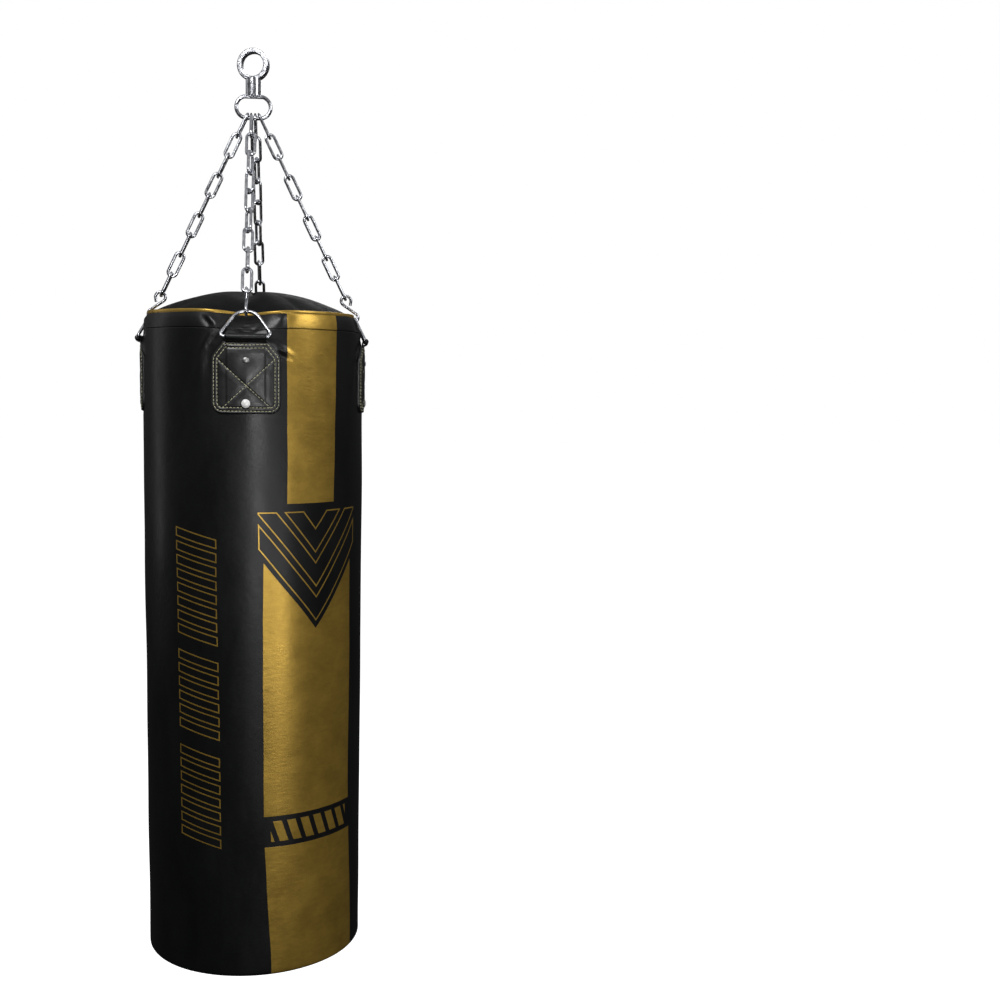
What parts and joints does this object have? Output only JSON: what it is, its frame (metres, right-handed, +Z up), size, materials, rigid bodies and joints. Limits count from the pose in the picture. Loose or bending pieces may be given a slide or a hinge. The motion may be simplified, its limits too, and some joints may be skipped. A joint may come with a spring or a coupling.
{
  "type": "hanging heavy punching bag",
  "caption": "Cylindrical filled heavy punching bag in coated fabric, hung by chains and S-hooks from a swivel with an eye.",
  "frame": {"origin": "centre of the hanging eye's bore", "axes": "+Z up along the bag's axis, -Y towards the front patch, X along the bar that the chains hang on"},
  "size_m": [0.4226, 0.4226, 1.6659],
  "materials": {
    "plated_steel": "polished",
    "black_leather": "satin",
    "gold_leather": "satin",
    "black_webbing": "matte",
    "textile_filling": "matte"
  },
  "bodies": {
    "eye": {"swivel_eye": "plated_steel"},
    "ring": {"swivel_ring": "plated_steel", "swivel_pin": "plated_steel", "thrust_washer": "plated_steel"},
    "bag": {"filling": "textile_filling", "bag_skin": "black_leather", "base_panel": "black_leather", "top_cover": "black_leather", "rim_binding": "gold_leather", "strap_loops": "black_webbing", "patch_rivets": "plated_steel", "patch_front": "black_leather", "patch_back": "black_leather", "patch_left": "black_leather", "patch_right": "black_leather", "d_ring_front": "plated_steel", "d_ring_back": "plated_steel", "d_ring_left": "plated_steel", "d_ring_right": "plated_steel"},
    "chain_front_link_1": {"chain_front_link_1": "plated_steel"},
    "chain_front_link_2": {"chain_front_link_2": "plated_steel"},
    "chain_front_link_3": {"chain_front_link_3": "plated_steel"},
    "chain_front_link_4": {"chain_front_link_4": "plated_steel"},
    "chain_front_link_5": {"chain_front_link_5": "plated_steel"},
    "chain_front_link_6": {"chain_front_link_6": "plated_steel"},
    "chain_front_link_7": {"chain_front_link_7": "plated_steel"},
    "chain_front_link_8": {"chain_front_link_8": "plated_steel"},
    "chain_front_link_9": {"chain_front_link_9": "plated_steel"},
    "s_hook_front": {"s_hook_front": "plated_steel"},
    "chain_back_link_1": {"chain_back_link_1": "plated_steel"},
    "chain_back_link_2": {"chain_back_link_2": "plated_steel"},
    "chain_back_link_3": {"chain_back_link_3": "plated_steel"},
    "chain_back_link_4": {"chain_back_link_4": "plated_steel"},
    "chain_back_link_5": {"chain_back_link_5": "plated_steel"},
    "chain_back_link_6": {"chain_back_link_6": "plated_steel"},
    "chain_back_link_7": {"chain_back_link_7": "plated_steel"},
    "chain_back_link_8": {"chain_back_link_8": "plated_steel"},
    "chain_back_link_9": {"chain_back_link_9": "plated_steel"},
    "s_hook_back": {"s_hook_back": "plated_steel"},
    "chain_left_link_1": {"chain_left_link_1": "plated_steel"},
    "chain_left_link_2": {"chain_left_link_2": "plated_steel"},
    "chain_left_link_3": {"chain_left_link_3": "plated_steel"},
    "chain_left_link_4": {"chain_left_link_4": "plated_steel"},
    "chain_left_link_5": {"chain_left_link_5": "plated_steel"},
    "chain_left_link_6": {"chain_left_link_6": "plated_steel"},
    "chain_left_link_7": {"chain_left_link_7": "plated_steel"},
    "chain_left_link_8": {"chain_left_link_8": "plated_steel"},
    "chain_left_link_9": {"chain_left_link_9": "plated_steel"},
    "s_hook_left": {"s_hook_left": "plated_steel"},
    "chain_right_link_1": {"chain_right_link_1": "plated_steel"},
    "chain_right_link_2": {"chain_right_link_2": "plated_steel"},
    "chain_right_link_3": {"chain_right_link_3": "plated_steel"},
    "chain_right_link_4": {"chain_right_link_4": "plated_steel"},
    "chain_right_link_5": {"chain_right_link_5": "plated_steel"},
    "chain_right_link_6": {"chain_right_link_6": "plated_steel"},
    "chain_right_link_7": {"chain_right_link_7": "plated_steel"},
    "chain_right_link_8": {"chain_right_link_8": "plated_steel"},
    "chain_right_link_9": {"chain_right_link_9": "plated_steel"},
    "s_hook_right": {"s_hook_right": "plated_steel"}
  },
  "joints": [
    {"name": "swivel_spin", "type": "hinge", "parent": "eye", "child": "ring", "pos_m": [0, 0, -0.0372], "axis": [0, 0, 1], "continuous": true},
    {"name": "bag_swing", "type": "hinge", "parent": "ring", "child": "bag", "pos_m": [0, 0, -0.0952], "axis": [1, 0, 0], "range_deg": [-30, 30]},
    {"name": "chain_front_link_1_twist", "type": "hinge", "parent": "bag", "child": "chain_front_link_1", "pos_m": [-0.00337, -0.00758, -0.11008], "axis": [-0.0077, 0.4537, 0.8911], "range_deg": [-3, 3]},
    {"name": "chain_front_link_2_twist", "type": "hinge", "parent": "bag", "child": "chain_front_link_2", "pos_m": [-0.00306, -0.02604, -0.14635], "axis": [-0.0077, 0.4537, 0.8911], "range_deg": [-6, 6]},
    {"name": "chain_front_link_3_twist", "type": "hinge", "parent": "bag", "child": "chain_front_link_3", "pos_m": [-0.00274, -0.04451, -0.18262], "axis": [-0.0077, 0.4537, 0.8911], "range_deg": [-6, 6]},
    {"name": "chain_front_link_4_twist", "type": "hinge", "parent": "bag", "child": "chain_front_link_4", "pos_m": [-0.00243, -0.06297, -0.21889], "axis": [-0.0077, 0.4537, 0.8911], "range_deg": [-6, 6]},
    {"name": "chain_front_link_5_twist", "type": "hinge", "parent": "bag", "child": "chain_front_link_5", "pos_m": [-0.00212, -0.08144, -0.25516], "axis": [-0.0077, 0.4537, 0.8911], "range_deg": [-6, 6]},
    {"name": "chain_front_link_6_twist", "type": "hinge", "parent": "bag", "child": "chain_front_link_6", "pos_m": [-0.0018, -0.09991, -0.29142], "axis": [-0.0077, 0.4537, 0.8911], "range_deg": [-6, 6]},
    {"name": "chain_front_link_7_twist", "type": "hinge", "parent": "bag", "child": "chain_front_link_7", "pos_m": [-0.00149, -0.11837, -0.32769], "axis": [-0.0077, 0.4537, 0.8911], "range_deg": [-6, 6]},
    {"name": "chain_front_link_8_twist", "type": "hinge", "parent": "bag", "child": "chain_front_link_8", "pos_m": [-0.00117, -0.13684, -0.36396], "axis": [-0.0077, 0.4537, 0.8911], "range_deg": [-6, 6]},
    {"name": "chain_front_link_9_twist", "type": "hinge", "parent": "bag", "child": "chain_front_link_9", "pos_m": [-0.00086, -0.1553, -0.40023], "axis": [-0.0077, 0.4537, 0.8911], "range_deg": [-6, 6]},
    {"name": "s_hook_front_twist", "type": "hinge", "parent": "bag", "child": "s_hook_front", "pos_m": [-0.0007, -0.16447, -0.41823], "axis": [-0.0077, 0.4537, 0.8911], "range_deg": [-4, 4]},
    {"name": "chain_back_link_1_twist", "type": "hinge", "parent": "bag", "child": "chain_back_link_1", "pos_m": [0.00337, 0.00758, -0.11008], "axis": [0.0077, -0.4537, 0.8911], "range_deg": [-3, 3]},
    {"name": "chain_back_link_2_twist", "type": "hinge", "parent": "bag", "child": "chain_back_link_2", "pos_m": [0.00306, 0.02604, -0.14635], "axis": [0.0077, -0.4537, 0.8911], "range_deg": [-6, 6]},
    {"name": "chain_back_link_3_twist", "type": "hinge", "parent": "bag", "child": "chain_back_link_3", "pos_m": [0.00274, 0.04451, -0.18262], "axis": [0.0077, -0.4537, 0.8911], "range_deg": [-6, 6]},
    {"name": "chain_back_link_4_twist", "type": "hinge", "parent": "bag", "child": "chain_back_link_4", "pos_m": [0.00243, 0.06297, -0.21889], "axis": [0.0077, -0.4537, 0.8911], "range_deg": [-6, 6]},
    {"name": "chain_back_link_5_twist", "type": "hinge", "parent": "bag", "child": "chain_back_link_5", "pos_m": [0.00212, 0.08144, -0.25516], "axis": [0.0077, -0.4537, 0.8911], "range_deg": [-6, 6]},
    {"name": "chain_back_link_6_twist", "type": "hinge", "parent": "bag", "child": "chain_back_link_6", "pos_m": [0.0018, 0.09991, -0.29142], "axis": [0.0077, -0.4537, 0.8911], "range_deg": [-6, 6]},
    {"name": "chain_back_link_7_twist", "type": "hinge", "parent": "bag", "child": "chain_back_link_7", "pos_m": [0.00149, 0.11837, -0.32769], "axis": [0.0077, -0.4537, 0.8911], "range_deg": [-6, 6]},
    {"name": "chain_back_link_8_twist", "type": "hinge", "parent": "bag", "child": "chain_back_link_8", "pos_m": [0.00117, 0.13684, -0.36396], "axis": [0.0077, -0.4537, 0.8911], "range_deg": [-6, 6]},
    {"name": "chain_back_link_9_twist", "type": "hinge", "parent": "bag", "child": "chain_back_link_9", "pos_m": [0.00086, 0.1553, -0.40023], "axis": [0.0077, -0.4537, 0.8911], "range_deg": [-6, 6]},
    {"name": "s_hook_back_twist", "type": "hinge", "parent": "bag", "child": "s_hook_back", "pos_m": [0.0007, 0.16447, -0.41823], "axis": [0.0077, -0.4537, 0.8911], "range_deg": [-4, 4]},
    {"name": "chain_left_link_1_twist", "type": "hinge", "parent": "bag", "child": "chain_left_link_1", "pos_m": [-0.01983, 0, -0.10918], "axis": [0.4302, 0, 0.9027], "range_deg": [-3, 3]},
    {"name": "chain_left_link_2_twist", "type": "hinge", "parent": "bag", "child": "chain_left_link_2", "pos_m": [-0.03714, 0, -0.1455], "axis": [0.4302, 0, 0.9027], "range_deg": [-6, 6]},
    {"name": "chain_left_link_3_twist", "type": "hinge", "parent": "bag", "child": "chain_left_link_3", "pos_m": [-0.05445, 0, -0.18183], "axis": [0.4302, 0, 0.9027], "range_deg": [-6, 6]},
    {"name": "chain_left_link_4_twist", "type": "hinge", "parent": "bag", "child": "chain_left_link_4", "pos_m": [-0.07176, 0, -0.21815], "axis": [0.4302, 0, 0.9027], "range_deg": [-6, 6]},
    {"name": "chain_left_link_5_twist", "type": "hinge", "parent": "bag", "child": "chain_left_link_5", "pos_m": [-0.08907, 0, -0.25447], "axis": [0.4302, 0, 0.9027], "range_deg": [-6, 6]},
    {"name": "chain_left_link_6_twist", "type": "hinge", "parent": "bag", "child": "chain_left_link_6", "pos_m": [-0.10638, 0, -0.2908], "axis": [0.4302, 0, 0.9027], "range_deg": [-6, 6]},
    {"name": "chain_left_link_7_twist", "type": "hinge", "parent": "bag", "child": "chain_left_link_7", "pos_m": [-0.1237, 0, -0.32712], "axis": [0.4302, 0, 0.9027], "range_deg": [-6, 6]},
    {"name": "chain_left_link_8_twist", "type": "hinge", "parent": "bag", "child": "chain_left_link_8", "pos_m": [-0.14101, 0, -0.36345], "axis": [0.4302, 0, 0.9027], "range_deg": [-6, 6]},
    {"name": "chain_left_link_9_twist", "type": "hinge", "parent": "bag", "child": "chain_left_link_9", "pos_m": [-0.15832, 0, -0.39977], "axis": [0.4302, 0, 0.9027], "range_deg": [-6, 6]},
    {"name": "s_hook_left_twist", "type": "hinge", "parent": "bag", "child": "s_hook_left", "pos_m": [-0.16681, 0, -0.41759], "axis": [0.4302, 0, 0.9027], "range_deg": [-4, 4]},
    {"name": "chain_right_link_1_twist", "type": "hinge", "parent": "bag", "child": "chain_right_link_1", "pos_m": [0.01983, 0, -0.10918], "axis": [-0.4302, 0, 0.9027], "range_deg": [-3, 3]},
    {"name": "chain_right_link_2_twist", "type": "hinge", "parent": "bag", "child": "chain_right_link_2", "pos_m": [0.03714, 0, -0.1455], "axis": [-0.4302, 0, 0.9027], "range_deg": [-6, 6]},
    {"name": "chain_right_link_3_twist", "type": "hinge", "parent": "bag", "child": "chain_right_link_3", "pos_m": [0.05445, 0, -0.18183], "axis": [-0.4302, 0, 0.9027], "range_deg": [-6, 6]},
    {"name": "chain_right_link_4_twist", "type": "hinge", "parent": "bag", "child": "chain_right_link_4", "pos_m": [0.07176, 0, -0.21815], "axis": [-0.4302, 0, 0.9027], "range_deg": [-6, 6]},
    {"name": "chain_right_link_5_twist", "type": "hinge", "parent": "bag", "child": "chain_right_link_5", "pos_m": [0.08907, 0, -0.25447], "axis": [-0.4302, 0, 0.9027], "range_deg": [-6, 6]},
    {"name": "chain_right_link_6_twist", "type": "hinge", "parent": "bag", "child": "chain_right_link_6", "pos_m": [0.10638, 0, -0.2908], "axis": [-0.4302, 0, 0.9027], "range_deg": [-6, 6]},
    {"name": "chain_right_link_7_twist", "type": "hinge", "parent": "bag", "child": "chain_right_link_7", "pos_m": [0.1237, 0, -0.32712], "axis": [-0.4302, 0, 0.9027], "range_deg": [-6, 6]},
    {"name": "chain_right_link_8_twist", "type": "hinge", "parent": "bag", "child": "chain_right_link_8", "pos_m": [0.14101, 0, -0.36345], "axis": [-0.4302, 0, 0.9027], "range_deg": [-6, 6]},
    {"name": "chain_right_link_9_twist", "type": "hinge", "parent": "bag", "child": "chain_right_link_9", "pos_m": [0.15832, 0, -0.39977], "axis": [-0.4302, 0, 0.9027], "range_deg": [-6, 6]},
    {"name": "s_hook_right_twist", "type": "hinge", "parent": "bag", "child": "s_hook_right", "pos_m": [0.16681, 0, -0.41759], "axis": [-0.4302, 0, 0.9027], "range_deg": [-4, 4]}
  ]
}
